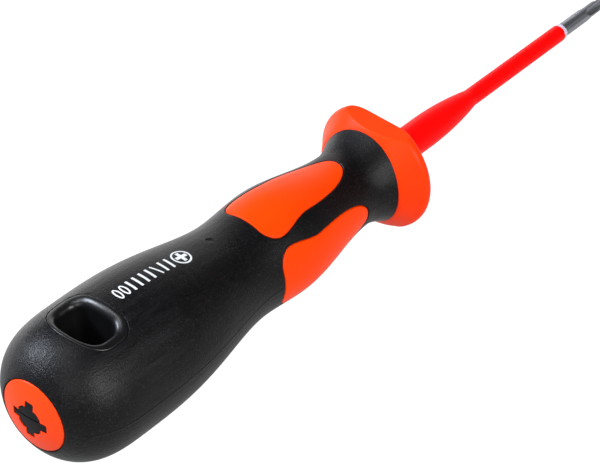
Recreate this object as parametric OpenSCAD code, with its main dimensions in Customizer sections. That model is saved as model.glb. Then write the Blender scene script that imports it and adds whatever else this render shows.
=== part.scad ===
// Insulated screwdriver with a three-component handle.
// +X runs along the blade to its tip and +Z is up through the hanging hole.
// The origin lies on the floor, halfway along the tool.

/* [Handle] */
// handle length from the edge of the end disc to the nose
handle_length = 122; // [105:1:146]
// diameter of the belly near the back of the handle
belly_diameter = 34.4; // [30:0.2:41]
// diameter of the waist behind the pads
waist_diameter = 24.8; // [21.6:0.2:29.8]
// diameter of the swell under the thumb
swell_diameter = 26.2; // [23:0.2:31.4]
// diameter of the neck behind the guard
neck_diameter = 19.2; // [18:0.2:23]
// thickness of the soft grip over the core
grip_wall = 2.4; // [1.8:0.1:2.9]

/* [Guard] */
// largest diameter of the guard's rim
guard_diameter = 31.7; // [28:0.1:37.9]
// distance across the guard's two flats
guard_flats = 26; // [24.6:0.1:31]
// diameter where the guard meets the soft grip
guard_foot_diameter = 23.8; // [21.6:0.2:24.6]
// thickness of the guard's rounded rim
rim_thickness = 3.8; // [2.8:0.1:4.8]
// diameter of the nose where the sleeve enters
nose_diameter = 11; // [10.4:0.2:13]

/* [Finger pads] */
// length of each pad along the handle
pad_length = 31.9; // [27:0.1:36]
// widest part of each pad, near its back end
pad_width = 15.8; // [13:0.2:17]
// width of each pad halfway along
pad_middle_width = 13; // [11:0.2:14.6]

/* [Hanging hole] */
// clear length of the hole along the handle
hole_length = 9.2; // [7.4:0.2:11.2]
// clear width of the hole across the handle
hole_width = 12.4; // [10:0.2:15]
// corner radius of the hole
hole_corner = 3; // [2:0.2:3.6]
// width of the hard lip around the hole
hole_lip = 2; // [1.4:0.1:2.4]

/* [End disc] */
// diameter of the domed end disc
disc_diameter = 17.7; // [14.6:0.1:21.2]
// height of the disc's dome
disc_dome = 1.4; // [1:0.1:1.8]
// length of one arm of the drive symbol from its centre
symbol_arm = 4.8; // [4:0.1:5.8]
// width of one arm of the drive symbol
symbol_width = 2.2; // [1.8:0.1:2.8]

/* [Blade] */
// length of the blade in front of the handle
blade_length = 80; // [70:1:96]
// diameter of the bare shank
shank_diameter = 3.5; // [2.9:0.1:3.8]
// diameter of the shank inside the handle
root_diameter = 4.5; // [4:0.1:5]
// length of the fluted drive tip
tip_length = 7; // [5.6:0.2:8.4]
// length of bare steel between the insulation and the flutes
bare_length = 9.8; // [7.8:0.2:11.8]

/* [Insulation] */
// diameter of the thick boss next to the handle
boss_diameter = 8; // [6.8:0.1:9]
// wall of the red sleeve where it is thin
sleeve_wall = 0.2; // [0.15:0.05:0.4]
// wall of the pale inner layer
inner_wall = 0.2; // [0.15:0.05:0.25]
// length of the pale inner layer left showing
inner_shown = 1.1; // [0.7:0.1:1.6]

/* [Hidden] */
seam = 0.12; // clearance between a pad and its window
cap_gap = 0.1; // clearance around the end disc
plug_gap = 0.05; // clearance of the core's spigot in the guard
symbol_depth = 1.2;
symbol_drop = 0.6; // the symbol sits a little below the disc's centre

belly_r = belly_diameter / 2;
waist_r = waist_diameter / 2;
swell_r = swell_diameter / 2;
neck_r = neck_diameter / 2;
foot_r = guard_foot_diameter / 2;
rim_r = guard_diameter / 2;
disc_r = disc_diameter / 2;
cap_r = disc_r + cap_gap;
nose_r = nose_diameter / 2;
shank_r = shank_diameter / 2;
root_r = root_diameter / 2;
boss_r = boss_diameter / 2;
sleeve_r = shank_r + inner_wall + sleeve_wall;
axis_height = belly_r;

// stations along the axis, measured from the edge of the end disc
belly_at = 0.164 * handle_length;
waist_at = 0.516 * handle_length;
swell_at = 0.623 * handle_length;
neck_at = 0.832 * handle_length;
foot_at = 0.888 * handle_length;
hole_at = 0.1287 * handle_length;
pad_tip_at = 0.81 * handle_length;
pad_back_at = pad_tip_at - pad_length;
nose_at = handle_length;
spigot_back_at = neck_at + 2;
spigot_front_at = foot_at + 4;
rim_back_at = foot_at + 3;
rim_front_at = rim_back_at + rim_thickness;
tip_at = handle_length + blade_length;
flute_at = tip_at - tip_length;
inner_end_at = flute_at - bare_length;
sleeve_end_at = inner_end_at - inner_shown;
boss_end_at = nose_at + 0.34 * (sleeve_end_at - nose_at) / 0.8;
boss_start_at = nose_at + 8;
back_x = -(disc_dome + tip_at) / 2 + disc_dome;

// inner sizes
collar_r = neck_r - 1.75;
socket_r = collar_r - 1.4;
stem_r = 4.5;
cap_floor_at = 3;
stem_floor_at = 5.6;
recess_r = cap_r;
root_at = 0.5 * handle_length;
wing_half = root_r + 1.3;
saddle_r = 55;
pad_spread = 41.5; // half the angle that one pad may span

function smooth(t) = t * t * (3 - 2 * t);
function blend(a, b, t) = a + (b - a) * t;
function part_of(s, a, b) = (s - a) / (b - a);

// the handle's outside radius at station s
dome_reach = belly_at / pow(1 - pow(cap_r / belly_r, 2), 1 / 3.3);
function dome_r(s) = belly_r * sqrt(1 - pow((belly_at - s) / dome_reach, 3.3));
function back_r(s) = blend(belly_r, waist_r, smooth(pow(part_of(s, belly_at, waist_at), 1.5)));
function thumb_r(s) = blend(waist_r, swell_r, smooth(part_of(s, waist_at, swell_at)));
function neck_in_r(s) = blend(swell_r, neck_r, smooth(part_of(s, swell_at, neck_at)));
function flare_r(s) = blend(neck_r, foot_r, pow(part_of(s, neck_at, foot_at), 1.6));
function front_r(s) = s < neck_at ? neck_in_r(s) : flare_r(s);
function waist_side_r(s) = s < swell_at ? thumb_r(s) : front_r(s);
function body_r(s) = s < waist_at ? back_r(s) : waist_side_r(s);
function outside_r(s) = s < belly_at ? dome_r(s) : body_r(s);
function core_r(s) = outside_r(s) - grip_wall;

function steps(a, b, n) = [for (i = [0:n]) a + (b - a) * i / n];
function eased(a, b, n) = [for (i = [0:n]) a + (b - a) * pow(i / n, 1.7)];

// the outline of a pad seen from above, grown by g
pad_corner_at = pad_back_at + 0.135 * pad_length;
pad_middle_at = pad_back_at + 0.44 * pad_length;
function round_off(t, p, q) = pow(max(0, 1 - pow(t, p)), 1 / q);
// half the pad's width at its back end, where the edge is straight for half the width
function pad_back_w(t) = pad_width / 4 * (1 + round_off(t, 2, 2));
function pad_side_w(t) = blend(pad_width, pad_middle_width, smooth(t)) / 2;
function pad_front_w(t) = pad_middle_width / 2 * round_off(t, 1.45, 2.6);
function pad_half(g) = concat(
    [for (t = [1, 0.985, 0.93, 0.8, 0.6, 0.3])
        [pad_corner_at - t * (pad_corner_at - pad_back_at + g), pad_back_w(t) + g * sqrt(1 - t * t)]],
    [for (t = [0:0.2:0.8]) [blend(pad_corner_at, pad_middle_at, t), pad_side_w(t) + g]],
    [for (t = [0, 0.18, 0.36, 0.52, 0.67, 0.8, 0.9, 0.96, 0.99, 1])
        [pad_middle_at + t * (pad_tip_at - pad_middle_at + g), pad_front_w(t) + g * sqrt(1 - t * t)]]
);
function flip(list) = [for (i = [len(list) - 2:-1:0]) [list[i][0], -list[i][1]]];
function pad_outline(g) = concat(pad_half(g), flip(pad_half(g)));

// moves work made about the axis to its place on the floor
module place() {
    translate([back_x, 0, axis_height]) children();
}

// turns a profile of [radius, station] points about the axis
module turned(points) {
    rotate([0, 90, 0]) rotate_extrude($fn = 96) polygon(points);
}

module rod(r, from, to) {
    translate([from, 0, 0]) rotate([0, 90, 0]) cylinder(r = r, h = to - from, $fn = 64);
}

module rounded_block(length, width, corner, height) {
    translate([0, 0, -height / 2]) linear_extrude(height) {
        square([length - 2 * corner, width], center = true);
        square([length, width - 2 * corner], center = true);
        for (x = [-1, 1])
            for (y = [-1, 1])
                translate([x * (length / 2 - corner), y * (width / 2 - corner)])
                    circle(r = corner, $fn = 48);
    }
}

module hole_block(lip) {
    translate([hole_at, 0, 0])
        rounded_block(hole_length + 2 * lip, hole_width + 2.7 * lip, hole_corner + lip / 2, 3 * belly_r);
}

// a pad's block has upright sides that turn inward near the axis
module pad_block(g) {
    spread = pad_spread + atan(g / waist_r);
    intersection() {
        linear_extrude(2 * belly_r) polygon(pad_outline(g));
        rotate([90, 0, 90]) linear_extrude(handle_length) polygon([
            [0, 0], [2 * belly_r * tan(spread), 2 * belly_r], [-2 * belly_r * tan(spread), 2 * belly_r]
        ]);
    }
}

// the curved face between the soft grip and the guard
module saddle() {
    translate([foot_at - 0.8 + saddle_r, 0, 0]) rotate([90, 0, 0])
        cylinder(r = saddle_r, h = 4 * belly_r, center = true, $fn = 128);
}

outside_stations = concat(
    eased(0, belly_at, 12),
    [for (i = [1:12]) blend(belly_at, waist_at, i / 12)],
    [for (i = [1:4]) blend(waist_at, swell_at, i / 4)],
    [for (i = [1:9]) blend(swell_at, neck_at, i / 9)],
    [for (i = [1:5]) blend(neck_at, foot_at + 2, i / 5)]
);
core_stations = concat(
    [for (i = [0:8]) blend(cap_floor_at + 0.5, belly_at, i / 8)],
    [for (i = [1:7]) blend(belly_at, waist_at, i / 7)],
    [for (i = [1:4]) blend(waist_at, swell_at, i / 4)],
    [for (i = [1:6]) blend(swell_at, spigot_back_at, i / 6)]
);
outside_curve = [for (s = outside_stations) [outside_r(s), s]];
core_curve = [for (s = core_stations) [core_r(s), s]];
function reversed(list) = [for (i = [len(list) - 1:-1:0]) list[i]];

module core_body() {
    turned(concat([[0, core_curve[0][1]]], core_curve, [[0, spigot_back_at]]));
}

module outside_body() {
    turned(concat([[0, 0]], outside_curve, [[0, foot_at + 2]]));
}

// the hard black core carries the blade and lines the hanging hole
module handle_core() {
    color([0.09, 0.09, 0.1]) place() difference() {
        union() {
            core_body();
            rod(socket_r - plug_gap, spigot_back_at - 1, spigot_front_at);
            intersection() {
                hole_block(hole_lip);
                outside_body();
            }
        }
        hole_block(0);
        rod(root_r, root_at, spigot_front_at + 1);
        translate([root_at, -wing_half, -0.9]) cube([9, 2 * wing_half, 1.8]);
        rod(stem_r, cap_floor_at, stem_floor_at);
    }
}

// the soft black grip is moulded over the core
module soft_grip() {
    inner = concat([[recess_r, 0]], [[recess_r, core_curve[0][1]]], core_curve,
        [[collar_r, spigot_back_at], [collar_r, foot_at + 2]]);
    color([0.16, 0.16, 0.17]) place() difference() {
        turned(concat(outside_curve, reversed(inner)));
        saddle();
        for (turn = [0:90:270]) rotate([turn, 0, 0]) pad_block(seam);
        hole_block(hole_lip);
    }
}

module finger_pad(turn) {
    color([1, 0.33, 0.12]) place() rotate([turn, 0, 0]) intersection() {
        pad_block(0);
        difference() {
            outside_body();
            core_body();
        }
    }
}

module pad_top() {
    finger_pad(0);
}

module pad_right() {
    finger_pad(90);
}

module pad_bottom() {
    finger_pad(180);
}

module pad_left() {
    finger_pad(270);
}

// the orange guard keeps the fingers off the blade
module guard() {
    tip_r = rim_thickness / 2;
    back = [for (t = [0:0.2:1]) [blend(foot_r, rim_r - tip_r * 0.55, pow(t, 0.8)),
        blend(foot_at, rim_back_at, t)]];
    rim = [for (a = [-40:20:80]) [rim_r - tip_r + tip_r * cos(a), rim_back_at + tip_r + tip_r * sin(a)]];
    front = [for (t = [0:0.2:1]) [blend(rim_r - 1.6 * tip_r, nose_r, pow(t, 0.55)),
        blend(rim_front_at + 0.1, nose_at - 0.6, t)]];
    color([1, 0.36, 0.1]) place() {
        difference() {
            union() {
                intersection() {
                    turned(concat(
                        [[0, foot_at - 2], [foot_r - 1.1, foot_at - 2]],
                        back, rim, front,
                        [[nose_r - 0.6, nose_at], [0, nose_at]]
                    ));
                    saddle();
                    cube([3 * handle_length, 2 * guard_diameter, guard_flats], center = true);
                }
                rod(collar_r, spigot_back_at, rim_back_at);
            }
            rod(socket_r, spigot_back_at - 1, spigot_front_at);
            rod(boss_r, spigot_front_at - 1, nose_at + 1);
        }
    }
}

// the orange disc closes the back of the handle
module end_cap() {
    sphere_r = (pow(disc_r, 2) + pow(disc_dome, 2)) / (2 * disc_dome);
    color([1, 0.36, 0.1]) place() difference() {
        union() {
            rod(disc_r, 0, cap_floor_at);
            intersection() {
                translate([sphere_r - disc_dome, 0, 0]) sphere(r = sphere_r, $fn = 128);
                rod(disc_r, -disc_dome - 1, 1);
            }
            rod(stem_r, cap_floor_at - 1, stem_floor_at);
        }
        symbol_block();
    }
}

// the outline of the cross-drive symbol
module symbol_shape() {
    for (turn = [0, 90]) rotate([turn, 0, 0]) {
        cube([symbol_depth + disc_dome, 2 * symbol_arm, symbol_width], center = true);
        rotate([45, 0, 0])
            cube([symbol_depth + disc_dome, 1.4 * symbol_arm, 0.42 * symbol_width], center = true);
    }
}

module symbol_block() {
    translate([(symbol_depth - disc_dome) / 2 - 0.5, 0, -symbol_drop]) symbol_shape();
}

module cap_symbol() {
    sphere_r = (pow(disc_r, 2) + pow(disc_dome, 2)) / (2 * disc_dome);
    color([0.07, 0.07, 0.08]) place() intersection() {
        symbol_block();
        translate([sphere_r - disc_dome + 0.25, 0, 0]) sphere(r = sphere_r, $fn = 128);
    }
}

// the steel blade has pressed wings in the core and a combined cross and flat tip
module blade() {
    point_r = shank_r * 0.72;
    color([0.42, 0.43, 0.45]) place() difference() {
        union() {
            turned([
                [0, root_at], [root_r, root_at], [root_r, boss_start_at], [shank_r, boss_end_at],
                [shank_r, tip_at - 2.6], [point_r, tip_at - 0.5], [point_r - 0.35, tip_at], [0, tip_at]
            ]);
            translate([root_at, -wing_half, -0.9]) cube([9, 2 * wing_half, 1.8]);
        }
        for (turn = [45:90:315])
            rotate([turn, 0, 0])
                translate([tip_at + 1, 0, shank_r * 0.95])
                    rotate([0, 84, 180])
                        cylinder(r = shank_r * 0.42, h = tip_length + 3, $fn = 24);
    }
}

// the pale layer shows that the red sleeve is worn through
module inner_insulation() {
    color([0.86, 0.84, 0.9]) place() turned([
        [root_r, spigot_front_at], [root_r + inner_wall, spigot_front_at],
        [root_r + inner_wall, boss_start_at], [shank_r + inner_wall, boss_end_at],
        [shank_r + inner_wall, inner_end_at], [shank_r, inner_end_at],
        [shank_r, boss_end_at], [root_r, boss_start_at]
    ]);
}

module outer_sleeve() {
    taper = [for (t = [0:0.125:1]) [blend(boss_r, sleeve_r + 0.03, t * t),
        blend(boss_start_at, boss_end_at, t)]];
    color([0.93, 0.12, 0.1]) place() turned(concat(
        [[root_r + inner_wall, spigot_front_at], [boss_r, spigot_front_at]],
        taper,
        [[sleeve_r - 0.05, sleeve_end_at - 0.2], [sleeve_r - 0.15, sleeve_end_at],
            [shank_r + inner_wall, sleeve_end_at],
            [shank_r + inner_wall, boss_end_at], [root_r + inner_wall, boss_start_at]]
    ));
}

blade();
inner_insulation();
outer_sleeve();
handle_core();
soft_grip();
guard();
pad_top();
pad_right();
pad_bottom();
pad_left();
end_cap();
cap_symbol();
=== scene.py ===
import bpy, bmesh, math
from mathutils import Matrix, Vector


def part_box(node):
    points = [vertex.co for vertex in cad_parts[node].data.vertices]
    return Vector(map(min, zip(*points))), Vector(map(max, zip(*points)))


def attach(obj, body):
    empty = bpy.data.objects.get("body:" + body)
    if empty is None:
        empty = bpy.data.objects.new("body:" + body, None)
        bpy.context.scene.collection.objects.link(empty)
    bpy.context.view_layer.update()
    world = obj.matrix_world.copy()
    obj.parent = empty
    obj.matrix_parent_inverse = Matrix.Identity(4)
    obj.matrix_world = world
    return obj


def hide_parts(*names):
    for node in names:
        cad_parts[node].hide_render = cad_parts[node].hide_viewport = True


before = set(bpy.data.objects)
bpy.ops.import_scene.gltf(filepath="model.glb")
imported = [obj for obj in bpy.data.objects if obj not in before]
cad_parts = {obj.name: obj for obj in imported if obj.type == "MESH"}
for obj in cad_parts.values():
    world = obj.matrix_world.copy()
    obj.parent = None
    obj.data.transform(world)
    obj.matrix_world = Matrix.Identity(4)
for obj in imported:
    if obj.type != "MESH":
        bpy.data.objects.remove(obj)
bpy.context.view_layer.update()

print("frame loaded")

# where the tool lies: pieces are shaped in millimetres about its axis, then put in place by finishPiece
mm = 0.001
capLow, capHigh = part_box("end_cap")
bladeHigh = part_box("blade")[1]
padLow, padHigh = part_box("pad_top")
guardLow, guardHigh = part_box("guard")
gripLow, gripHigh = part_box("soft_grip")
axisZ = (capLow.z + capHigh.z) / 2
backX = gripLow.x                     # edge of the end disc, station 0
tipAt = (bladeHigh.x - backX) / mm
domeRise = (backX - capLow.x) / mm


def station(x):                       # metres in the frame to millimetres along the axis
    return (x - backX) / mm


def blend(a, b, t):
    return a + (b - a) * t


def smoothStep(t):
    t = max(0.0, min(1.0, t))
    return t * t * (3 - 2 * t)


# the handle's outside shape
handle = {
    "bellyRadius": (gripHigh.z - gripLow.z) / 2 / mm,
    "waistRadius": 12.4,
    "swellRadius": 13.1,
    "neckRadius": 9.6,
    "footRadius": 11.9,
    "capRadius": 8.95,
    "bellyAt": 20.01,
    "waistAt": 62.95,
    "swellAt": 76.0,
    "neckAt": 101.5,
    "footAt": 108.34,
    "bellyCurve": 3.3,                # power of the dome behind the belly, where 2 is an ellipse
    "waistLean": 1.5,
    "footFlare": 1.6,
    "saddleRadius": 55.0,             # how the guard's foot line bends round the neck
    "saddleReach": 20.0,
    "saddleBack": 0.8,
}


def outsideRadius(s):
    h = handle
    if s < h["bellyAt"]:
        power = h["bellyCurve"]
        reach = h["bellyAt"] / (1 - (h["capRadius"] / h["bellyRadius"]) ** 2) ** (1 / power)
        return h["bellyRadius"] * math.sqrt(max(0.0, 1 - ((h["bellyAt"] - s) / reach) ** power))
    if s < h["waistAt"]:
        t = (s - h["bellyAt"]) / (h["waistAt"] - h["bellyAt"])
        return blend(h["bellyRadius"], h["waistRadius"], smoothStep(t ** h["waistLean"]))
    if s < h["swellAt"]:
        t = (s - h["waistAt"]) / (h["swellAt"] - h["waistAt"])
        return blend(h["waistRadius"], h["swellRadius"], smoothStep(t))
    if s < h["neckAt"]:
        t = (s - h["swellAt"]) / (h["neckAt"] - h["swellAt"])
        return blend(h["swellRadius"], h["neckRadius"], smoothStep(t))
    t = (s - h["neckAt"]) / (h["footAt"] - h["neckAt"])
    return blend(h["neckRadius"], h["footRadius"], t ** h["footFlare"])


def saddleShift(z):                   # the foot line lies further forward above and below
    r = handle["saddleRadius"]
    return r - math.sqrt(r * r - min(abs(z), handle["saddleReach"]) ** 2) - handle["saddleBack"]


def onSkin(s, w, h):                  # height over the axis of a point w across, h above the skin
    return math.sqrt(max(0.0, outsideRadius(s) ** 2 - w * w)) + h


# making meshes
weldGap = 0.0005                      # millimetres, as are the next two
lastWeldGap = 0.0004
slimEdge = 0.0002


def steps(a, b, n):
    return [a + (b - a) * i / n for i in range(n + 1)]


def profileRing(points, turns):       # a profile of (station, radius) points spun round the axis
    bm = bmesh.new()
    verts = [bm.verts.new((s, 0, r)) for s, r in points]
    edges = [bm.edges.new((a, b)) for a, b in zip(verts, verts[1:])]
    bmesh.ops.spin(bm, geom=verts + edges, cent=(0, 0, 0), axis=(1, 0, 0), dvec=(0, 0, 0),
                   angle=math.tau, steps=turns, use_merge=True, use_duplicate=False)
    bmesh.ops.remove_doubles(bm, verts=bm.verts, dist=weldGap)
    bmesh.ops.recalc_face_normals(bm, faces=bm.faces)
    return bm


def loft(rings, closed=False):        # joins rings that have the same number of points
    bm = bmesh.new()
    count = len(rings[0])
    made = bmesh.ops.create_circle(bm, cap_ends=False, segments=count, radius=1)["verts"]
    for v, p in zip(made, rings[0]):
        v.co = p
    loop = [bm.edges.get((made[i], made[(i + 1) % count])) for i in range(count)]
    first, last = list(loop), list(made)
    for ring in rings[1:]:
        grown = bmesh.ops.extrude_edge_only(bm, edges=loop)["geom"]
        verts = [g for g in grown if isinstance(g, bmesh.types.BMVert)]
        order = {}
        for v in verts:               # each new vertex sits on its old one until it is moved
            order[tuple(round(c, 6) for c in v.co)] = v
        last = [order[tuple(round(c, 6) for c in old.co)] for old in last]
        for v, p in zip(last, ring):
            v.co = p
        loop = [bm.edges.get((last[i], last[(i + 1) % count])) for i in range(count)]
    if closed:
        bmesh.ops.remove_doubles(bm, verts=bm.verts, dist=weldGap)
    else:
        bmesh.ops.contextual_create(bm, geom=first)
        bmesh.ops.contextual_create(bm, geom=loop)
    bmesh.ops.recalc_face_normals(bm, faces=bm.faces)
    return bm


def turnAbout(bm, degrees):
    turn = Matrix.Rotation(math.radians(degrees), 3, "X")
    bmesh.ops.rotate(bm, verts=bm.verts, cent=(0, 0, 0), matrix=turn)
    return bm


def plainObject(bm, name):
    mesh = bpy.data.meshes.new(name)
    bm.to_mesh(mesh)
    bm.free()
    thing = bpy.data.objects.new(name, mesh)
    bpy.context.scene.collection.objects.link(thing)
    return thing


def cutWith(thing, cutters, kind="DIFFERENCE"):
    for cutter in cutters:
        tool = plainObject(cutter, "cutter")
        mod = thing.modifiers.new("cut", "BOOLEAN")
        mod.operation = kind
        mod.solver = "EXACT"
        mod.object = tool
        bpy.context.view_layer.update()
        graph = bpy.context.evaluated_depsgraph_get()
        result = bpy.data.meshes.new_from_object(thing.evaluated_get(graph))
        thing.modifiers.clear()
        old = thing.data
        thing.data = result
        bpy.data.meshes.remove(old)
        bpy.data.objects.remove(tool)
    return thing


def finishPiece(thing, name, material, sharpOver=34, nodes=()):   # sharpOver is in degrees
    if isinstance(thing, bmesh.types.BMesh):
        thing = plainObject(thing, name)
    thing.name = name
    bm = bmesh.new()
    bm.from_mesh(thing.data)
    bmesh.ops.remove_doubles(bm, verts=bm.verts, dist=lastWeldGap)
    bmesh.ops.dissolve_degenerate(bm, edges=bm.edges, dist=slimEdge)
    for face in bm.faces:
        face.smooth = True
        face.material_index = 0
    for edge in bm.edges:
        if len(edge.link_faces) == 2:
            edge.smooth = edge.calc_face_angle(0) < math.radians(sharpOver)
    bmesh.ops.scale(bm, verts=bm.verts, vec=(mm, mm, mm))
    bmesh.ops.translate(bm, verts=bm.verts, vec=(backX, 0, axisZ))
    bm.to_mesh(thing.data)
    bm.free()
    thing.data.materials.clear()
    thing.data.materials.append(material)
    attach(thing, "root")
    if nodes:
        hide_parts(*nodes)
    print("made", name, len(thing.data.polygons), "faces")
    return thing


# shared finishes
def newGroup(name, inputs, outputs):
    group = bpy.data.node_groups.new(name, "ShaderNodeTree")
    for title, kind, value in inputs:
        socket = group.interface.new_socket(name=title, in_out="INPUT", socket_type=kind)
        if value is not None:
            socket.default_value = value
    for title, kind in outputs:
        group.interface.new_socket(name=title, in_out="OUTPUT", socket_type=kind)
    entry = group.nodes.new("NodeGroupInput")
    leave = group.nodes.new("NodeGroupOutput")
    return group, entry, leave


def mathNode(tree, kind, a, b=None, clamp=False):
    node = tree.nodes.new("ShaderNodeMath")
    node.operation = kind
    node.use_clamp = clamp
    for i, value in enumerate((a, b)):
        if value is None:
            continue
        if hasattr(value, "links"):
            tree.links.new(value, node.inputs[i])
        else:
            node.inputs[i].default_value = value
    return node.outputs[0]


def noiseNode(tree, vector, scale, detail=2.0, rough=0.5):
    node = tree.nodes.new("ShaderNodeTexNoise")
    tree.links.new(vector, node.inputs["Vector"])
    if hasattr(scale, "links"):
        tree.links.new(scale, node.inputs["Scale"])
    else:
        node.inputs["Scale"].default_value = scale
    node.inputs["Detail"].default_value = detail
    node.inputs["Roughness"].default_value = rough
    return node.outputs["Fac"]


def remap(tree, value, low, high, toLow, toHigh):
    node = tree.nodes.new("ShaderNodeMapRange")
    node.clamp = True
    tree.links.new(value, node.inputs["Value"])
    node.inputs["From Min"].default_value = low
    node.inputs["From Max"].default_value = high
    node.inputs["To Min"].default_value = toLow
    node.inputs["To Max"].default_value = toHigh
    return node.outputs["Result"]


def makeSkinGrain():                  # spark-eroded mould texture: a fine grain with soft patches
    group, entry, leave = newGroup(
        "skinGrain",
        [("Vector", "NodeSocketVector", None), ("Grain Scale", "NodeSocketFloat", 3000.0),
         ("Patch Scale", "NodeSocketFloat", 90.0), ("Patch Amount", "NodeSocketFloat", 0.5)],
        [("Height", "NodeSocketFloat"), ("Patches", "NodeSocketFloat"), ("Specks", "NodeSocketFloat")])
    t = group
    fine = noiseNode(t, entry.outputs["Vector"], entry.outputs["Grain Scale"], 1.0, 0.5)
    broad = noiseNode(t, entry.outputs["Vector"], entry.outputs["Patch Scale"], 4.0, 0.62)
    mixed = mathNode(t, "MULTIPLY", broad, entry.outputs["Patch Amount"])
    t.links.new(mathNode(t, "ADD", fine, mathNode(t, "MULTIPLY", mixed, 0.25)), leave.inputs["Height"])
    t.links.new(remap(t, broad, 0.3, 0.7, 0.0, 1.0), leave.inputs["Patches"])
    t.links.new(remap(t, fine, 0.60, 0.76, 0.0, 1.0), leave.inputs["Specks"])
    return group


def makeStreaks():                    # faint marks drawn out along the tool
    group, entry, leave = newGroup(
        "drawnStreaks",
        [("Vector", "NodeSocketVector", None), ("Scale", "NodeSocketFloat", 400.0),
         ("Stretch", "NodeSocketFloat", 0.08)],
        [("Mask", "NodeSocketFloat")])
    t = group
    split = t.nodes.new("ShaderNodeSeparateXYZ")
    t.links.new(entry.outputs["Vector"], split.inputs[0])
    join = t.nodes.new("ShaderNodeCombineXYZ")
    t.links.new(mathNode(t, "MULTIPLY", split.outputs[0], entry.outputs["Stretch"]), join.inputs[0])
    t.links.new(split.outputs[1], join.inputs[1])
    t.links.new(split.outputs[2], join.inputs[2])
    lines = noiseNode(t, join.outputs[0], entry.outputs["Scale"], 3.0, 0.6)
    t.links.new(remap(t, lines, 0.4, 0.7, 0.0, 1.0), leave.inputs["Mask"])
    return group


def makeSpotMask():                   # 1 at a spot on the object, 0 beyond its radius
    group, entry, leave = newGroup(
        "spotMask",
        [("Vector", "NodeSocketVector", None), ("Centre", "NodeSocketVector", None),
         ("Radius", "NodeSocketFloat", 0.001), ("Edge", "NodeSocketFloat", 0.3)],
        [("Mask", "NodeSocketFloat")])
    t = group
    away = t.nodes.new("ShaderNodeVectorMath")
    away.operation = "DISTANCE"
    t.links.new(entry.outputs["Vector"], away.inputs[0])
    t.links.new(entry.outputs["Centre"], away.inputs[1])
    ratio = mathNode(t, "DIVIDE", away.outputs["Value"], entry.outputs["Radius"])
    inside = mathNode(t, "SUBTRACT", 1.0, ratio)
    t.links.new(mathNode(t, "DIVIDE", inside, entry.outputs["Edge"], clamp=True), leave.inputs["Mask"])
    return group


skinGrain = makeSkinGrain()
drawnStreaks = makeStreaks()
spotMask = makeSpotMask()
print("shared finishes ready")


def newMaterial(name):
    material = bpy.data.materials.new(name)
    material.use_nodes = True
    tree = material.node_tree
    shader = tree.nodes["Principled BSDF"]
    coords = tree.nodes.new("ShaderNodeTexCoord")
    return material, tree, shader, coords.outputs["Object"]


def useGroup(tree, group, vector, **values):
    node = tree.nodes.new("ShaderNodeGroup")
    node.node_tree = group
    tree.links.new(vector, node.inputs["Vector"])
    for title, value in values.items():
        node.inputs[title.replace("_", " ")].default_value = value
    return node


def mixColour(tree, factor, a, b):
    node = tree.nodes.new("ShaderNodeMix")
    node.data_type = "RGBA"
    tree.links.new(factor, node.inputs[0])
    for i, value in ((6, a), (7, b)):
        if hasattr(value, "links"):
            tree.links.new(value, node.inputs[i])
        else:
            node.inputs[i].default_value = (*value, 1)
    return node.outputs[2]


def addBump(tree, shader, height, strength, distance):
    bump = tree.nodes.new("ShaderNodeBump")
    bump.inputs["Strength"].default_value = strength
    bump.inputs["Distance"].default_value = distance
    tree.links.new(height, bump.inputs["Height"])
    tree.links.new(bump.outputs[0], shader.inputs["Normal"])


softLook = {
    "deep": (0.0008, 0.0007, 0.0009),
    "pale": (0.0026, 0.0024, 0.0029),
    "speck": (0.060, 0.058, 0.064),
    "speckAmount": 0.45,
    "streak": (0.005, 0.0048, 0.0055),
    "streakAmount": 0.7,
    "rough": (0.33, 0.42),
    "reflect": 0.16,
    "refract": 1.5,
    "grain": {"Grain_Scale": 3500.0, "Patch_Scale": 60.0, "Patch_Amount": 0.6},
    "streaks": {"Scale": 520.0, "Stretch": 0.12},
    "bump": 1.0,
    "bumpDepth": 0.00010,
    "sheenLines": {"Scale": 1000.0, "Stretch": 0.06},
    "worn": (0.010, 0.0096, 0.011),   # painted reflection beside the hanging hole: the drawn lines are the rubber's own, their lightness is painted
    "wornPatch": {"Centre": (-0.0785, -0.0105, 0.0315), "Radius": 0.016, "Edge": 0.6},
}


def softGripMaterial():
    look = softLook
    material, tree, shader, here = newMaterial("softGripRubber")
    grain = useGroup(tree, skinGrain, here, **look["grain"])
    streaks = useGroup(tree, drawnStreaks, here, **look["streaks"])
    colour = mixColour(tree, grain.outputs["Patches"], look["deep"], look["pale"])
    speckOn = mathNode(tree, "MULTIPLY", grain.outputs["Specks"], look["speckAmount"])
    colour = mixColour(tree, speckOn, colour, look["speck"])
    streakOn = mathNode(tree, "MULTIPLY", streaks.outputs["Mask"], grain.outputs["Patches"])
    streakOn = mathNode(tree, "MULTIPLY", streakOn, look["streakAmount"])
    colour = mixColour(tree, streakOn, colour, look["streak"])
    # painted reflection: lighter drawn lines mixed into the base colour in a spot beside the hanging hole
    worn = useGroup(tree, spotMask, here, **look["wornPatch"])
    sheenLines = useGroup(tree, drawnStreaks, here, **look["sheenLines"])
    sheenLinesOn = mathNode(tree, "MULTIPLY", worn.outputs["Mask"], sheenLines.outputs["Mask"])
    colour = mixColour(tree, sheenLinesOn, colour, look["worn"])
    tree.links.new(colour, shader.inputs["Base Color"])
    wear = mathNode(tree, "ADD", mathNode(tree, "MULTIPLY", grain.outputs["Patches"], 0.6),
                    mathNode(tree, "MULTIPLY", streaks.outputs["Mask"], 0.4))
    smooth, dull = look["rough"]
    tree.links.new(remap(tree, wear, 0.0, 1.0, dull, smooth), shader.inputs["Roughness"])
    height = mathNode(tree, "ADD", grain.outputs["Height"],
                      mathNode(tree, "MULTIPLY", streaks.outputs["Mask"], 0.35))
    addBump(tree, shader, height, look["bump"], look["bumpDepth"])
    shader.inputs["IOR"].default_value = look["refract"]
    shader.inputs["Specular IOR Level"].default_value = look["reflect"]
    return material


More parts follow.
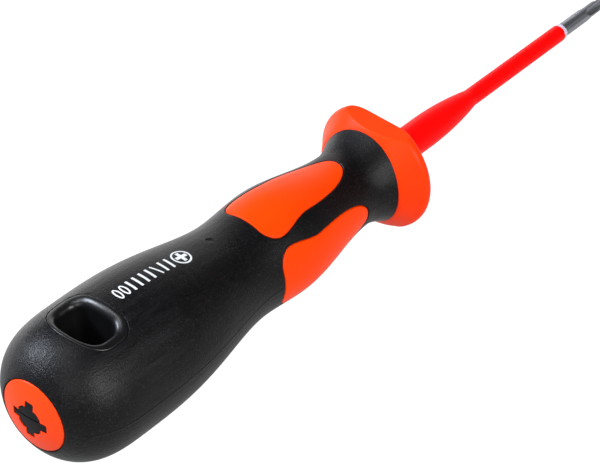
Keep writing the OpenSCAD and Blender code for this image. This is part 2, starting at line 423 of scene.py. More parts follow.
hardLook = {                          # what all the hard plastics share
    "grain": {"Grain_Scale": 1400.0, "Patch_Scale": 45.0, "Patch_Amount": 0.4},
    "flow": {"Scale": 160.0, "Stretch": 0.35},
    "roughSpread": 0.05,
    "bumpDepth": 0.00005,
    "refract": 1.48,
}
hardPlastics = {                      # main colour, shaded colour, roughness, bump, reflection
    "padPlastic": ((0.84, 0.047, 0.001), (0.80, 0.042, 0.001), 0.38, 0.12, 0.07),
    "guardPlastic": ((0.84, 0.038, 0.002), (0.80, 0.033, 0.0015), 0.38, 0.12, 0.07),
    "discPlastic": ((0.84, 0.050, 0.003), (0.80, 0.044, 0.0025), 0.34, 0.12, 0.13),
    "sleevePlastic": ((0.80, 0.002, 0.002), (0.75, 0.0015, 0.0015), 0.36, 0.12, 0.07),
    "innerPlastic": ((0.56, 0.51, 0.62), (0.50, 0.46, 0.56), 0.45, 0.12, 0.5),
    "corePlastic": ((0.002, 0.002, 0.0024), (0.003, 0.003, 0.0036), 0.38, 0.5, 0.42),
    "symbolPlastic": ((0.004, 0.0038, 0.0045), (0.007, 0.0067, 0.0078), 0.5, 0.3, 0.11),
    "printInk": ((0.62, 0.63, 0.64), (0.55, 0.56, 0.57), 0.5, 0.25, 0.5),
}


def hardPlasticMaterial(name):
    look = hardLook
    main, shade, rough, bump, reflect = hardPlastics[name]
    material, tree, shader, here = newMaterial(name)
    grain = useGroup(tree, skinGrain, here, **look["grain"])
    flow = useGroup(tree, drawnStreaks, here, **look["flow"])
    mask = mathNode(tree, "ADD", mathNode(tree, "MULTIPLY", grain.outputs["Patches"], 0.5),
                    mathNode(tree, "MULTIPLY", flow.outputs["Mask"], 0.5))
    tree.links.new(mixColour(tree, mask, main, shade), shader.inputs["Base Color"])
    spread = look["roughSpread"]
    tree.links.new(remap(tree, grain.outputs["Patches"], 0.0, 1.0, rough - spread, rough + spread),
                   shader.inputs["Roughness"])
    addBump(tree, shader, grain.outputs["Height"], bump, look["bumpDepth"])
    shader.inputs["IOR"].default_value = look["refract"]
    shader.inputs["Specular IOR Level"].default_value = reflect
    return material


steelLook = {
    "dark": (0.29, 0.30, 0.325),
    "pale": (0.49, 0.50, 0.54),
    "rough": (0.42, 0.52),
    "streaks": {"Scale": 2500.0, "Stretch": 0.03},
    "grain": {"Grain_Scale": 5000.0, "Patch_Scale": 300.0, "Patch_Amount": 0.5},
    "bump": 0.15,
    "bumpDepth": 0.00002,
}


def steelMaterial():
    look = steelLook
    material, tree, shader, here = newMaterial("bladeSteel")
    streaks = useGroup(tree, drawnStreaks, here, **look["streaks"])
    grain = useGroup(tree, skinGrain, here, **look["grain"])
    tone = mathNode(tree, "MULTIPLY", streaks.outputs["Mask"], grain.outputs["Patches"])
    tree.links.new(mixColour(tree, tone, look["dark"], look["pale"]), shader.inputs["Base Color"])
    tree.links.new(remap(tree, streaks.outputs["Mask"], 0.0, 1.0, *look["rough"]), shader.inputs["Roughness"])
    shader.inputs["Metallic"].default_value = 1.0
    addBump(tree, shader, streaks.outputs["Mask"], look["bump"], look["bumpDepth"])
    return material


crossLine = {                         # in metres, on the drive symbol
    "above": 0.00008,                 # over the tool's axis
    "slope": 0.085,
    "core": 0.00010,                  # fully dark this far from its middle, and gone at the next
    "fade": 0.00022,
    "colour": (0.0003, 0.0003, 0.0003),
    "groove": 6.0,
}


def addCrossLine(material):           # a fine dark groove across the drive symbol
    tree = material.node_tree
    shader = tree.nodes["Principled BSDF"]
    split = tree.nodes.new("ShaderNodeSeparateXYZ")
    tree.links.new(tree.nodes["Texture Coordinate"].outputs["Object"], split.inputs[0])
    slope = mathNode(tree, "MULTIPLY", split.outputs[1], crossLine["slope"])
    tilted = mathNode(tree, "ADD", split.outputs[2], slope)
    off = mathNode(tree, "ABSOLUTE", mathNode(tree, "SUBTRACT", tilted, axisZ + crossLine["above"]))
    line = remap(tree, off, crossLine["core"], crossLine["fade"], 1.0, 0.0)
    plain = shader.inputs["Base Color"].links[0].from_socket
    tree.links.new(mixColour(tree, line, plain, crossLine["colour"]), shader.inputs["Base Color"])
    height = shader.inputs["Normal"].links[0].from_node.inputs["Height"]
    cut = mathNode(tree, "MULTIPLY", line, crossLine["groove"])
    tree.links.new(mathNode(tree, "SUBTRACT", height.links[0].from_socket, cut), height)
    shine = shader.inputs["Specular IOR Level"]
    tree.links.new(remap(tree, line, 0.0, 1.0, shine.default_value, 0.0), shine)


gripRubber = softGripMaterial()
plastic = {name: hardPlasticMaterial(name) for name in hardPlastics}
addCrossLine(plastic["symbolPlastic"])
bladeSteel = steelMaterial()
print("materials ready")

# finger pads
pad = {
    "back": max(station(padLow.x), 66.9),   # its straight back edge
    "tip": station(padHigh.x),
    "width": (padHigh.y - padLow.y) / mm,
    "middleWidth": 13.0,
    "cornerShare": 0.135,             # where the back corner and the middle lie, as shares of the length
    "middleShare": 0.44,
    "tipPowers": (1.45, 2.6),         # how round the front end is, along and across
    "crown": 0.12,
    "edge": 0.28,                     # radius of the rounded edge
    "rows": 22,
    "sunk": 1.3,
    "windowEdge": ((0.09, -3.4), (0.09, -0.5), (0.10, -0.34), (0.15, -0.2), (0.23, -0.1),
                   (0.34, -0.03), (0.52, 0.12)),   # gap and height over the skin
    "windowEnds": ((0.09, 5.0), (0.6, 19.0)),   # gap, and height over the axis
    "points": 176,
}


def padHalf(s):
    back, tip = pad["back"], pad["tip"]
    corner = back + pad["cornerShare"] * (tip - back)
    middle = back + pad["middleShare"] * (tip - back)
    if s < corner:                    # the back edge is straight for half its width
        return pad["width"] / 4 * (1 + math.sqrt(max(0.0, 1 - ((corner - s) / (corner - back)) ** 2)))
    if s < middle:
        return blend(pad["width"], pad["middleWidth"], smoothStep((s - corner) / (middle - corner))) / 2
    t = (s - middle) / (tip - middle)
    lengthPower, widthPower = pad["tipPowers"]
    return pad["middleWidth"] / 2 * max(0.0, 1 - t ** lengthPower) ** (1 / widthPower)


def evenLoop(points, count):          # the same outline with its points evenly spaced
    closed = points + [points[0]]
    lengths = [0.0]
    for a, b in zip(closed, closed[1:]):
        lengths.append(lengths[-1] + math.dist(a, b))
    out, j = [], 0
    for i in range(count):
        want = lengths[-1] * i / count
        while lengths[j + 1] < want:
            j += 1
        t = (want - lengths[j]) / max(1e-9, lengths[j + 1] - lengths[j])
        out.append((blend(closed[j][0], closed[j + 1][0], t), blend(closed[j][1], closed[j + 1][1], t)))
    return out


def grownLoop(points, g):             # an outline moved outwards by g
    out, n = [], len(points)
    for i in range(n):
        a, b = points[i - 1], points[(i + 1) % n]
        dx, dy = b[0] - a[0], b[1] - a[1]
        size = math.hypot(dx, dy)
        out.append((points[i][0] + dy / size * g, points[i][1] - dx / size * g))
    return out


def padLoop():
    fine = [(1 - math.cos(a)) / 2 for a in steps(0, math.pi, 600)]
    side = [(s, padHalf(s)) for s in [blend(pad["back"], pad["tip"], t) for t in fine]]
    return evenLoop([(s, -w) for s, w in side] + [(s, w) for s, w in side[::-1][1:]], pad["points"])


padEdge = padLoop()


def skinRing(points, h):
    return [Vector((s, w, onSkin(s, w, h))) for s, w in points]


def around(s0, w0, rs, rw, count):    # an ellipse of points, rs along the tool and rw across
    turns = steps(0, math.tau, count)[:-1]
    return [(s0 + rs * math.cos(a), w0 + rw * math.sin(a)) for a in turns]


def levelRing(points, z):             # an outline held level, clear of the skin
    return [Vector((s, w, z)) for s, w in points]


def makePad():
    inner = grownLoop(padEdge, -1.1 * pad["edge"])
    centre = blend(pad["back"], pad["tip"], 0.45)
    rings = []
    for f in [0.015] + steps(0.06, 0.97, pad["rows"]) + [1.0]:
        ring = [(blend(centre, s, f), w * f) for s, w in inner]
        rings.append(skinRing(ring, pad["crown"] * (1 - f ** 4)))
    for a in steps(15, 90, 5):
        back = pad["edge"] * (1 - math.sin(math.radians(a)))
        drop = pad["edge"] * (1 - math.cos(math.radians(a)))
        rings.append(skinRing(grownLoop(padEdge, -back), -drop))
    rings.append(skinRing(padEdge, -pad["sunk"]))
    return loft(rings)


def padWindow():                      # cuts a pad's window with a rolled edge
    rings = [skinRing(grownLoop(padEdge, gap), h) for gap, h in pad["windowEdge"]]
    low, high = [levelRing(grownLoop(padEdge, gap), z) for gap, z in pad["windowEnds"]]
    return loft([low] + rings + [high])


turnOf = {"pad_top": 0, "pad_right": 90, "pad_bottom": 180, "pad_left": 270}
for node, degrees in turnOf.items():
    finger = turnAbout(makePad(), degrees)
    finishPiece(finger, "finger_" + node, plastic["padPlastic"], nodes=[node])

# hanging hole and its hard lip
hole = {
    "at": 15.70,
    "length": 9.2,
    "width": 12.4,
    "corner": 3.0,
    "backBend": 2.35,                 # 2 makes the end towards the disc a true ellipse, more is squarer
    "crest": 1.8,                     # how far the mouth is rolled back
    "rollDepth": 2.3,
    "lip": 2.0,
    "across": 1.35,                   # how fast the outline grows across the tool, then along it at the back
    "along": 0.85,
    "lipEdge": ((0, -5.0), (0, -0.3), (-0.02, -0.12), (-0.07, -0.04), (-0.14, -0.01)),
    "lipTurns": 14,
    "wallDepths": (4.5, 8.0),
    "cutEdge": ((0, -6.0), (0, -0.3), (0.02, -0.14), (0.07, -0.05), (0.16, 0.03)),
    "cutWider": 0.4,
    "clear": 20.0,                    # a height that clears the whole handle
    "coreGap": 1.0,
    "points": 24,                     # a fifth of the points in the outline
}


def holeLoop(g):                      # the hole's outline, grown by g
    halfLength, halfWidth = hole["length"] / 2 + g, hole["width"] / 2 + hole["across"] * g
    corner, power = hole["corner"] + g / 2, 2 / (hole["backBend"] - 0.12 * g)
    back, out = hole["length"] / 2 + hole["along"] * g, []
    for a in steps(0, 90, hole["points"]):
        rad = math.radians(a)
        x = hole["at"] + halfLength - corner + corner * math.cos(rad)
        out.append((x, halfWidth - corner + corner * math.sin(rad)))
    for a in steps(90, 180, 2 * hole["points"]):
        rad = math.radians(a)
        x = hole["at"] - back * abs(math.cos(rad)) ** power
        out.append((x, halfWidth * max(0.0, math.sin(rad)) ** power))
    out += [(x, -y) for x, y in out[::-1][1:]]
    return evenLoop(out[:-1], 5 * hole["points"])


def holeRing(g, h, side):
    return [Vector((s, w, side * onSkin(s, w, h))) for s, w in holeLoop(g)]


def makeHoleLip():
    deep = hole["rollDepth"]
    path = [(hole["lip"] + g, h) for g, h in hole["lipEdge"]]
    for a in steps(0, 90, hole["lipTurns"])[:-1]:
        rad = math.radians(a)
        path.append((hole["crest"] * (1 - math.sin(rad)), -deep * (1 - math.cos(rad))))
    path += [(0, -deep - 0.2)] + [(0, -depth) for depth in hole["wallDepths"]]
    upper = [holeRing(g, h, 1) for g, h in path]
    lower = [holeRing(g, h, -1) for g, h in path[::-1]]
    return loft(upper + lower + [upper[0]], closed=True)


def holeCutter(gap):                  # clears the soft grip round the lip, with rolled edges
    edge = hole["lip"] + gap
    path = [(edge + g, h) for g, h in hole["cutEdge"]]
    wide = holeLoop(edge + hole["cutWider"])
    lower = [holeRing(g, h, -1) for g, h in path[::-1]]
    upper = [holeRing(g, h, 1) for g, h in path]
    return loft([levelRing(wide, -hole["clear"])] + lower + upper + [levelRing(wide, hole["clear"])])


finishPiece(makeHoleLip(), "hole_lip", plastic["corePlastic"], sharpOver=50,
            nodes=["handle_core"])

# soft grip
grip = {
    "wall": 2.4,
    "backEdge": ((2.6, 0), (0.5, 0), (0.2, 0.03), (0.08, 0.12)),   # station, and radius over the disc's
    "skinStart": 0.12,
    "footBore": 8.2,
    "rows": (34, 38, 40, 10),         # along the belly, waist, swell and neck
    "holeGap": 0.06,
    "turns": 200,
    "seamHeight": 0.06,               # the mould's parting line, a fine ridge along both sides
    "seamHalf": 0.13,
    "dimpleAt": (56.1, 0.6),          # where the plastic was let in, station and offset
    "dimpleRadius": 1.1,
    "dimpleDeep": 0.22,
}


def makeGrip():
    h, rows = handle, grip["rows"]
    along = [h["bellyAt"] * t ** 1.35 for t in steps(0, 1, rows[0])]
    along += steps(h["bellyAt"], h["waistAt"], rows[1])[1:]
    along += steps(h["waistAt"], h["neckAt"], rows[2])[1:]
    along += steps(h["neckAt"], h["footAt"], rows[3])[1:]
    outer = [(s, outsideRadius(s)) for s in along]
    outer[0] = (grip["skinStart"], outer[0][1] + 0.02)
    start = [(s, h["capRadius"] + more) for s, more in grip["backEdge"]]
    front = [(h["footAt"] + 0.02, h["footRadius"] - 0.25), (h["footAt"], grip["footBore"])]
    inner = [(s, outsideRadius(s) - grip["wall"]) for s in steps(h["neckAt"], 3.4, 30)]
    points = start + outer + front + inner + [start[0]]
    bm = profileRing(points, grip["turns"])
    for v in bm.verts:                # the foot line is carried forward above and below
        s = v.co.x
        if s > h["neckAt"] + 0.01:
            t = (s - h["neckAt"]) / (h["footAt"] - h["neckAt"])
            r = math.hypot(v.co.y, v.co.z)
            moved = s + t * t * saddleShift(v.co.z / max(r, 0.1) * h["footRadius"])
            if r > grip["footBore"] + 0.3:
                scale = outsideRadius(moved) / outsideRadius(s)
                v.co.y *= scale
                v.co.z *= scale
            v.co.x = moved
    return bm


def raiseSeam(bm):                    # the ridge left where the two halves of the mould met
    for z in (-grip["seamHalf"], grip["seamHalf"]):
        bmesh.ops.bisect_plane(bm, geom=bm.verts[:] + bm.edges[:] + bm.faces[:], dist=0.0001,
                               plane_co=(0, 0, z), plane_no=(0, 0, 1))
    for v in bm.verts:
        r = abs(v.co.y)
        onLine = abs(v.co.z) < 0.001 and 1.0 < v.co.x < handle["footAt"]
        if onLine and r > outsideRadius(v.co.x) - 0.3:
            v.co.y *= (r + grip["seamHeight"]) / r
    return bm


def dimpleCutter():                   # a shallow dish with a flat floor
    s0, w0 = grip["dimpleAt"]
    rings = []
    for grow, h in ((0.05, 1.5), (0.05, 0.05), (0, 0), (-0.08, -0.6), (-0.22, -1)):
        r = grip["dimpleRadius"] + grow
        drop = h if h > 0 else h * grip["dimpleDeep"]
        rings.append(skinRing(around(s0, w0, r, r, 40), drop))
    return loft(rings)


gripPiece = plainObject(raiseSeam(makeGrip()), "grip")
windows = [turnAbout(padWindow(), degrees) for degrees in turnOf.values()]
cutWith(gripPiece, windows + [holeCutter(grip["holeGap"]), dimpleCutter()])
finishPiece(gripPiece, "grip_skin", gripRubber, sharpOver=40, nodes=["soft_grip"])

# core under the grip
core = {"wall": 2.45, "back": 3.6, "overNeck": 1.5, "spigot": 6.4, "front": 112.0, "turns": 96}


def makeCore():
    front, spigot = core["front"], core["spigot"]
    along = steps(core["back"], handle["neckAt"] + core["overNeck"], 60)
    rows = [(s, outsideRadius(s) - core["wall"]) for s in along]
    points = [(core["back"], 0)] + rows + [(along[-1], spigot), (front, spigot), (front, 0)]
    return profileRing(points, core["turns"])


corePiece = plainObject(makeCore(), "core")
coreHole = holeLoop(hole["coreGap"])
cutWith(corePiece, [loft([levelRing(coreHole, -hole["clear"]), levelRing(coreHole, hole["clear"])])])
finishPiece(corePiece, "core_body", plastic["corePlastic"], sharpOver=30, nodes=["handle_core"])

# guard
guard = {
    "rim": (guardHigh.y - guardLow.y) / 2 / mm,
    "flat": (guardHigh.z - guardLow.z) / 2 / mm,
    "rimBack": handle["footAt"] + 3.0,
    "rimThick": 3.8,
    "nose": 5.5,
    "noseAt": station(guardHigh.x),
    "bore": 4.0,
    "collarAt": 104.0,
    "collar": 7.8,
    "socket": 6.45,
    "socketEnd": 112.2,
    "footEdge": ((-0.05, -0.35), (0.03, -0.12)),   # station and radius from the grip's foot
    "backBend": 0.85,
    "rimArc": (-42, 82),
    "coneBend": 0.55,
    "noseEdge": ((0.15, 0.12), (0, 0.45)),   # back from the nose, and under its radius
    "boreEdge": ((0, 0.2), (0.15, 0.03), (0.6, 0)),   # back from the nose, and over the bore
    "saddleOver": 10.5,               # radii over this follow the foot line, and over the next one the flats
    "flatOver": 8.5,
    "blendFlat": 0.3,                 # how softly the flats run into the round
    "turns": 288,
}


def softLimit(value, limit, k):       # value held under limit, with a rounded changeover
    t = max(0.0, min(1.0, 0.5 + 0.5 * (limit - value) / k))
    return blend(limit, value, t) - k * t * (1 - t)


def makeGuard():
    g, h = guard, handle
    tip = g["rimThick"] / 2
    foot = h["footRadius"]
    points = [(g["collarAt"], g["collar"]), (h["footAt"] - 0.4, g["collar"])]
    points += [(h["footAt"] + back, foot + over) for back, over in g["footEdge"]]
    for t in steps(0, 1, 26):
        back = blend(h["footAt"] + 0.12, g["rimBack"], t)
        points.append((back, blend(foot, g["rim"] - tip * 0.55, t ** g["backBend"])))
    for a in steps(*g["rimArc"], 22):
        rad = math.radians(a)
        points.append((g["rimBack"] + tip + tip * math.sin(rad), g["rim"] - tip + tip * math.cos(rad)))
    front = g["rimBack"] + g["rimThick"]
    for t in steps(0, 1, 24)[1:]:
        ahead = blend(front + 0.05, g["noseAt"] - 0.5, t)
        points.append((ahead, blend(g["rim"] - 1.5 * tip, g["nose"], t ** g["coneBend"])))
    points += [(g["noseAt"] - back, g["nose"] - under) for back, under in g["noseEdge"]]
    points += [(g["noseAt"] - back, g["bore"] + over) for back, over in g["boreEdge"]]
    points += [(g["socketEnd"], g["bore"]), (g["socketEnd"], g["socket"]), (g["collarAt"], g["socket"])]
    points.append(points[0])
    bm = profileRing(points, g["turns"])
    for v in bm.verts:
        s, r = v.co.x, math.hypot(v.co.y, v.co.z)
        if r > g["saddleOver"] and s < g["rimBack"]:
            t = (s - h["footAt"] + 0.4) / (g["rimBack"] - h["footAt"] + 0.4)
            v.co.x = s + (1 - smoothStep(t)) * saddleShift(v.co.z / r * foot)
    for v in bm.verts:
        if math.hypot(v.co.y, v.co.z) > g["flatOver"]:
            height = softLimit(abs(v.co.z), g["flat"], g["blendFlat"])
            v.co.z = math.copysign(height, v.co.z)
    return bm


finishPiece(makeGuard(), "guard_flange", plastic["guardPlastic"], sharpOver=45,
            nodes=["guard"])

# end disc and its drive symbol
disc = {
    "radius": (capHigh.y - capLow.y) / 2 / mm - 0.06,   # less the seam round it
    "floor": 3.0,
    "edge": 0.42,
    "turns": 160,
}
symbol = {
    "arm": 4.8,
    "width": 2.2,
    "armRound": 0.38,
    "bump": 3.5,                      # corners of the rounded square between the arms
    "bumpWidth": 2.6,
    "bumpRound": 0.85,
    "drop": 0.65,
    "aside": 0.2,
    "deep": 1.0,
    "sunk": 0.2,
    "seam": 0.13,                     # gap round the symbol in its pocket
}
ballRadius = (disc["radius"] ** 2 + domeRise ** 2) / (2 * domeRise)   # the disc's dome is part of a ball


def domeAt(r):                        # station of the disc's dome at radius r
    return ballRadius - domeRise - math.sqrt(ballRadius * ballRadius - r * r)


def makeDisc():
    e, big = disc["edge"], disc["radius"]
    points = [(domeAt(0), 0)] + [(domeAt(r), r) for r in steps(0, big - e, 30)[1:]]
    for a in steps(20, 90, 5):
        rad = math.radians(a)
        points.append((domeAt(big - e) + e * (1 - math.cos(rad)), big - e + e * math.sin(rad)))
    points += [(disc["floor"], big), (disc["floor"], 0)]
    return profileRing(points, disc["turns"])


def symbolShape(grow, low, high):
    y = symbol
    arm = (y["arm"], y["width"], y["armRound"])
    lobe = (y["bump"], y["bumpWidth"], y["bumpRound"])
    parts = []
    for degrees, (half, width, soften) in ((0, arm), (90, arm), (45, lobe), (135, lobe)):
        one = bmesh.new()
        bmesh.ops.create_cube(one, size=1)
        bmesh.ops.scale(one, verts=one.verts, vec=(high - low, 2 * (half + grow), width + 2 * grow))
        corners = [e for e in one.edges if abs(e.verts[0].co.x - e.verts[1].co.x) > 0.1]
        bmesh.ops.bevel(one, geom=corners, offset=soften, segments=4, profile=0.5, affect="EDGES",
                        material=-1)
        turnAbout(one, degrees)
        bmesh.ops.translate(one, verts=one.verts, vec=((low + high) / 2, y["aside"], -y["drop"]))
        parts.append(one)
    whole = plainObject(parts[0], "symbol")
    return cutWith(whole, parts[1:], "UNION")


def asCutter(thing):
    bm = bmesh.new()
    bm.from_mesh(thing.data)
    bpy.data.objects.remove(thing)
    return bm


discPiece = plainObject(makeDisc(), "disc")
pocket = symbolShape(symbol["seam"], -domeRise - 1, -domeRise + symbol["deep"] + 0.6)
cutWith(discPiece, [asCutter(pocket)])
finishPiece(discPiece, "end_disc", plastic["discPlastic"], sharpOver=40, nodes=["end_cap"])
inlay = symbolShape(0.0, -domeRise - 0.6, -domeRise + symbol["deep"] + 0.5)
ball = bmesh.new()
bmesh.ops.create_uvsphere(ball, u_segments=256, v_segments=128, radius=ballRadius)
bmesh.ops.translate(ball, verts=ball.verts, vec=(ballRadius - domeRise + symbol["sunk"], 0, 0))
cutWith(inlay, [ball], "INTERSECT")
finishPiece(inlay, "drive_symbol", plastic["symbolPlastic"], sharpOver=40,
            nodes=["cap_symbol"])

# sleeve, inner layer and blade
bladeTurns = 96                       # faces round the blade and what lies on it
blade = {
    "back": 61.0,
    "root": 2.25,
    "shank": 1.74,
    "fluteStart": 193.4,
    "fluteRadius": 1.4,
    "fluteFloor": 0.95,               # how far the flutes' floors lie from the axis
    "fluteLean": 2.5,
    "fluteRun": 2.0,                  # length of the flutes' pointed start
    "fluteLength": 14.0,
    "fluteStartShape": ((0.2, 0.5), (0.55, 0.85), (1, 1)),   # shares of fluteRun and of fluteRadius
    "nose": 2.0,                      # length of the blunt nose
    "noseTaper": 0.72,
}
sleeveLow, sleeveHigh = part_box("outer_sleeve")
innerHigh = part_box("inner_insulation")[1]
sleeve = {
    "boss": (sleeveHigh.z - sleeveLow.z) / 2 / mm,
    "back": 112.4,
    "bossStart": 130.0,               # where the boss starts to narrow, and the blade's root too
    "taperEnd": 148.4,
    "thin": 2.14,
    "end": station(sleeveHigh.x),
    "endRadius": 2.1,
    "endEdge": ((0.12, 0.02), (0.03, 0.07), (0, 0.14)),   # back from the end, and under its radius
    "bore": 1.9,
    "rootBore": 2.5,
}


def sleeveRadius(s):
    k = sleeve
    if s < k["bossStart"]:
        return k["boss"]
    if s < k["taperEnd"]:
        t = (s - k["bossStart"]) / (k["taperEnd"] - k["bossStart"])
        return blend(k["boss"], k["thin"] + 0.03, t * t)
    t = (s - k["taperEnd"]) / (k["end"] - k["taperEnd"])
    return blend(k["thin"] + 0.03, k["endRadius"], min(1.0, t * 1.2))


def makeSleeve():
    end, last = sleeve["end"], sleeve["endRadius"]
    back, narrow, slim = sleeve["back"], sleeve["bossStart"], sleeve["taperEnd"]
    rows = [back] + steps(back + 0.6, narrow, 6) + steps(narrow, slim, 34)[1:]
    rows += steps(slim, end - 0.25, 24)[1:]
    points = [(s, sleeveRadius(s)) for s in rows]
    points += [(end - off, last - under) for off, under in sleeve["endEdge"]]
    points += [(end, sleeve["bore"]), (slim + 1.6, sleeve["bore"])]
    points += [(narrow, sleeve["rootBore"]), (back, sleeve["rootBore"]), points[0]]
    return profileRing(points, bladeTurns)


finishPiece(makeSleeve(), "sleeve_red", plastic["sleevePlastic"], sharpOver=40,
            nodes=["outer_sleeve"])


def makeInner():
    end, start = station(innerHigh.x), sleeve["end"] - 2
    out, inside = sleeve["bore"] - 0.01, blade["shank"] + 0.01
    points = [(start, out), (end - 0.06, out), (end - 0.02, out - 0.02), (end, out - 0.05), (end, inside),
              (start, inside), (start, out)]
    return profileRing(points, bladeTurns)


finishPiece(makeInner(), "inner_ring", plastic["innerPlastic"], sharpOver=40,
            nodes=["inner_insulation"])


def makeBlade():
    r, nose, back, root = blade["shank"], blade["nose"], blade["back"], blade["root"]
    rows = [(back, 0), (back, root), (sleeve["bossStart"], root), (sleeve["taperEnd"], r)]
    rows += [(s, r) for s in steps(sleeve["taperEnd"] + 1.6, blade["fluteStart"] + 0.6, 8)]
    rows += [(s, r) for s in steps(blade["fluteStart"] + 1.0, tipAt - nose - 0.1, 12)]
    for t in steps(0, 1, 8)[1:]:      # a rounded shoulder, then the blunt nose
        rows.append((tipAt - nose * (1 - t), r * (1 - blade["noseTaper"] * t ** 1.7)))
    rows.append((tipAt, 0))
    return profileRing(rows, bladeTurns)


def fluteCutter(degrees):
    b = blade
    reach, radius, lean = b["fluteRun"], b["fluteRadius"], math.radians(b["fluteLean"])
    points = [(0, 0)] + [(reach * along, radius * out) for along, out in b["fluteStartShape"]]
    bm = profileRing(points + [(b["fluteLength"], radius), (b["fluteLength"], 0)], 48)
    bmesh.ops.rotate(bm, verts=bm.verts, cent=(0, 0, 0), matrix=Matrix.Rotation(lean, 3, "Y"))
    away = b["fluteFloor"] + radius + reach * math.sin(lean)
    bmesh.ops.translate(bm, verts=bm.verts, vec=(b["fluteStart"], 0, away))
    return turnAbout(bm, degrees)


bladePiece = plainObject(makeBlade(), "blade_work")
cutWith(bladePiece, [fluteCutter(a) for a in (45, 135, 225, 315)])
finishPiece(bladePiece, "blade_shank", bladeSteel, sharpOver=30, nodes=["blade"])

# print on the handle's top line
mark = {
    "ringAt": 46.0,
    "ring": 2.4,
    "line": 0.42,
    "plus": 0.66,                     # half of the plus sign, as a share of the ring's radius
    "plusWidth": 0.9,
    "height": 0.012,
    "sunk": 0.05,
    "rowBack": 26.2,
    "rowFront": 42.2,
    "tall": 3.5,
    "bar": 0.6,
    "count": 9,
    "leaning": 2,                     # which mark in the row leans, and which are narrow rings
    "rings": (7, 8),
    "ringHalf": 0.8,
    "points": 48,
}


def makePrint():
    strips = []

    def bar(s0, w0, s1, w1, width):
        size = math.dist((s0, w0), (s1, w1))
        us, uw = (s1 - s0) / size * width / 2, (w1 - w0) / size * width / 2
        rings = []
        for t in steps(0, 1, max(2, int(size / 0.25))):
            s, w = blend(s0, s1, t), blend(w0, w1, t)
            left, right = (s - uw, w + us), (s + uw, w - us)
            top = skinRing([left, right], mark["height"])
            rings.append(skinRing([left], -mark["sunk"]) + top + skinRing([right], -mark["sunk"]))
        strips.append(loft(rings))

    def ring(s0, rs, rw, width):
        outer = around(s0, 0, rs, rw, mark["points"])
        inner = around(s0, 0, rs - width, rw - width, mark["points"])
        low, high = -mark["sunk"], mark["height"]
        edges = ((outer, low), (outer, high), (inner, high), (inner, low), (outer, low))
        strips.append(loft([skinRing(points, h) for points, h in edges], closed=True))

    centre, r = mark["ringAt"], mark["ring"]
    ring(centre, r, r, mark["line"])
    reach = r * mark["plus"]
    bar(centre - reach, 0, centre + reach, 0, mark["plusWidth"])
    bar(centre, -reach, centre, reach, mark["plusWidth"])
    tall = mark["tall"] / 2
    step = (mark["rowFront"] - mark["rowBack"]) / (mark["count"] - 1)
    for i in range(mark["count"]):    # plain tally marks
        s = mark["rowFront"] - i * step
        if i == mark["leaning"]:
            bar(s + 0.5, -tall, s - 0.5, tall, mark["line"])
        elif i in mark["rings"]:
            ring(s, mark["ringHalf"], tall, mark["line"])
        else:
            bar(s, -tall, s, tall, mark["bar"])
    whole = bmesh.new()
    for one in strips:
        mesh = bpy.data.meshes.new("ink")
        one.to_mesh(mesh)
        one.free()
        whole.from_mesh(mesh)
        bpy.data.meshes.remove(mesh)
    return whole


finishPiece(makePrint(), "size_print", plastic["printInk"], sharpOver=40)

# room, light and camera
studio = {
    "worldStrength": 0.06,
    "floorGlow": 0.98,
    "floorBounce": 0.55,              # what the tool sees of the floor
    "litFloor": 2.7,                  # and of its brighter patch beyond the handle
    "litAt": (-0.01, 0.20, 0.0),
    "litRadius": 0.2,
    "floorHalf": 3.0,
    "floorColours": ((0.10, 0.10, 0.10), (0.12, 0.12, 0.12)),
    "cameraAt": (-0.41742, -0.33223, 0.45809),
    "look": (0.58826, 0.48453, -0.64744),
    "right": (0.65271, -0.75715, 0.02642),
    "lens": 180.0,
}
middle, handleMiddle = (0, 0, 0.02), (-0.05, 0, 0.02)
lamps = {                             # place, what it points at, size, watts, colour
    "leftBox": ((-0.55, 0.83, 0.62), handleMiddle, (0.4, 0.3), 22.0, (0.80, 0.87, 1.0)),
    "rightBox": ((-0.13, -0.98, 0.58), handleMiddle, (0.5, 0.4), 13.0, (1, 1, 1)),
    "topBox": ((-0.4, 0.31, 1.1), middle, (0.45, 0.45), 6.0, (1, 1, 1)),
    "cameraBox": ((-1.1, -0.45, 0.8), middle, (0.6, 0.6), 6.0, (1, 1, 1)),
    "backdrop": ((1.25, 1.0, 0.40), middle, (1.6, 0.4), 6.0, (1, 1, 1)),
}


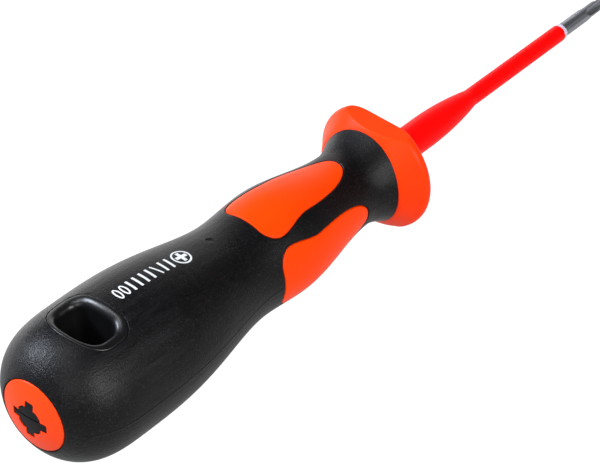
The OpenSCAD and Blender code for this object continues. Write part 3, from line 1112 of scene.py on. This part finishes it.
def makeFloor():
    bm = bmesh.new()
    bmesh.ops.create_grid(bm, x_segments=4, y_segments=4, size=studio["floorHalf"])
    floor = plainObject(bm, "floor")
    material, tree, shader, here = newMaterial("paleFloor")
    speck = noiseNode(tree, here, 30.0, 3.0)
    tree.links.new(mixColour(tree, speck, *studio["floorColours"]), shader.inputs["Base Color"])
    shader.inputs["Roughness"].default_value = 0.9
    shader.inputs["Specular IOR Level"].default_value = 0.1
    shader.inputs["Emission Color"].default_value = (1, 1, 1, 1)
    seen = tree.nodes.new("ShaderNodeLightPath").outputs["Is Camera Ray"]
    lit = useGroup(tree, spotMask, here, Centre=studio["litAt"], Radius=studio["litRadius"], Edge=0.7)
    bounce = remap(tree, lit.outputs["Mask"], 0.0, 1.0, studio["floorBounce"], studio["litFloor"])
    unseen = mathNode(tree, "MULTIPLY", bounce, mathNode(tree, "SUBTRACT", 1.0, seen))
    glow = mathNode(tree, "ADD", unseen, mathNode(tree, "MULTIPLY", seen, studio["floorGlow"]))
    tree.links.new(glow, shader.inputs["Emission Strength"])
    floor.data.materials.append(material)


def areaLight(name, place, aim, size, power, colour):
    data = bpy.data.lights.new(name, "AREA")
    data.shape = "RECTANGLE"
    data.size, data.size_y = size
    data.energy = power
    data.color = colour
    lamp = bpy.data.objects.new(name, data)
    lamp.location = place
    lamp.rotation_mode = "QUATERNION"
    lamp.rotation_quaternion = (Vector(aim) - Vector(place)).to_track_quat("-Z", "Y")
    bpy.context.scene.collection.objects.link(lamp)


def makeLights():
    world = bpy.data.worlds.new("studioWorld")
    world.use_nodes = True
    world.node_tree.nodes["Background"].inputs[0].default_value = (1, 1, 1, 1)
    world.node_tree.nodes["Background"].inputs[1].default_value = studio["worldStrength"]
    bpy.context.scene.world = world
    for name, settings in lamps.items():
        areaLight(name, *settings)


def makeCamera():
    data = bpy.data.cameras.new("mainCamera")
    data.lens = studio["lens"]
    data.sensor_width = 36.0
    data.clip_start, data.clip_end = 0.01, 20
    look, right = Vector(studio["look"]).normalized(), Vector(studio["right"]).normalized()
    up = right.cross(look).normalized()
    turn = Matrix((right, up, -look)).transposed()
    camera = bpy.data.objects.new("mainCamera", data)
    camera.matrix_world = Matrix.Translation(studio["cameraAt"]) @ turn.to_4x4()
    bpy.context.scene.collection.objects.link(camera)
    bpy.context.scene.camera = camera


makeFloor()
makeLights()
makeCamera()
bpy.context.scene.view_settings.view_transform = "Standard"
print("studio ready")
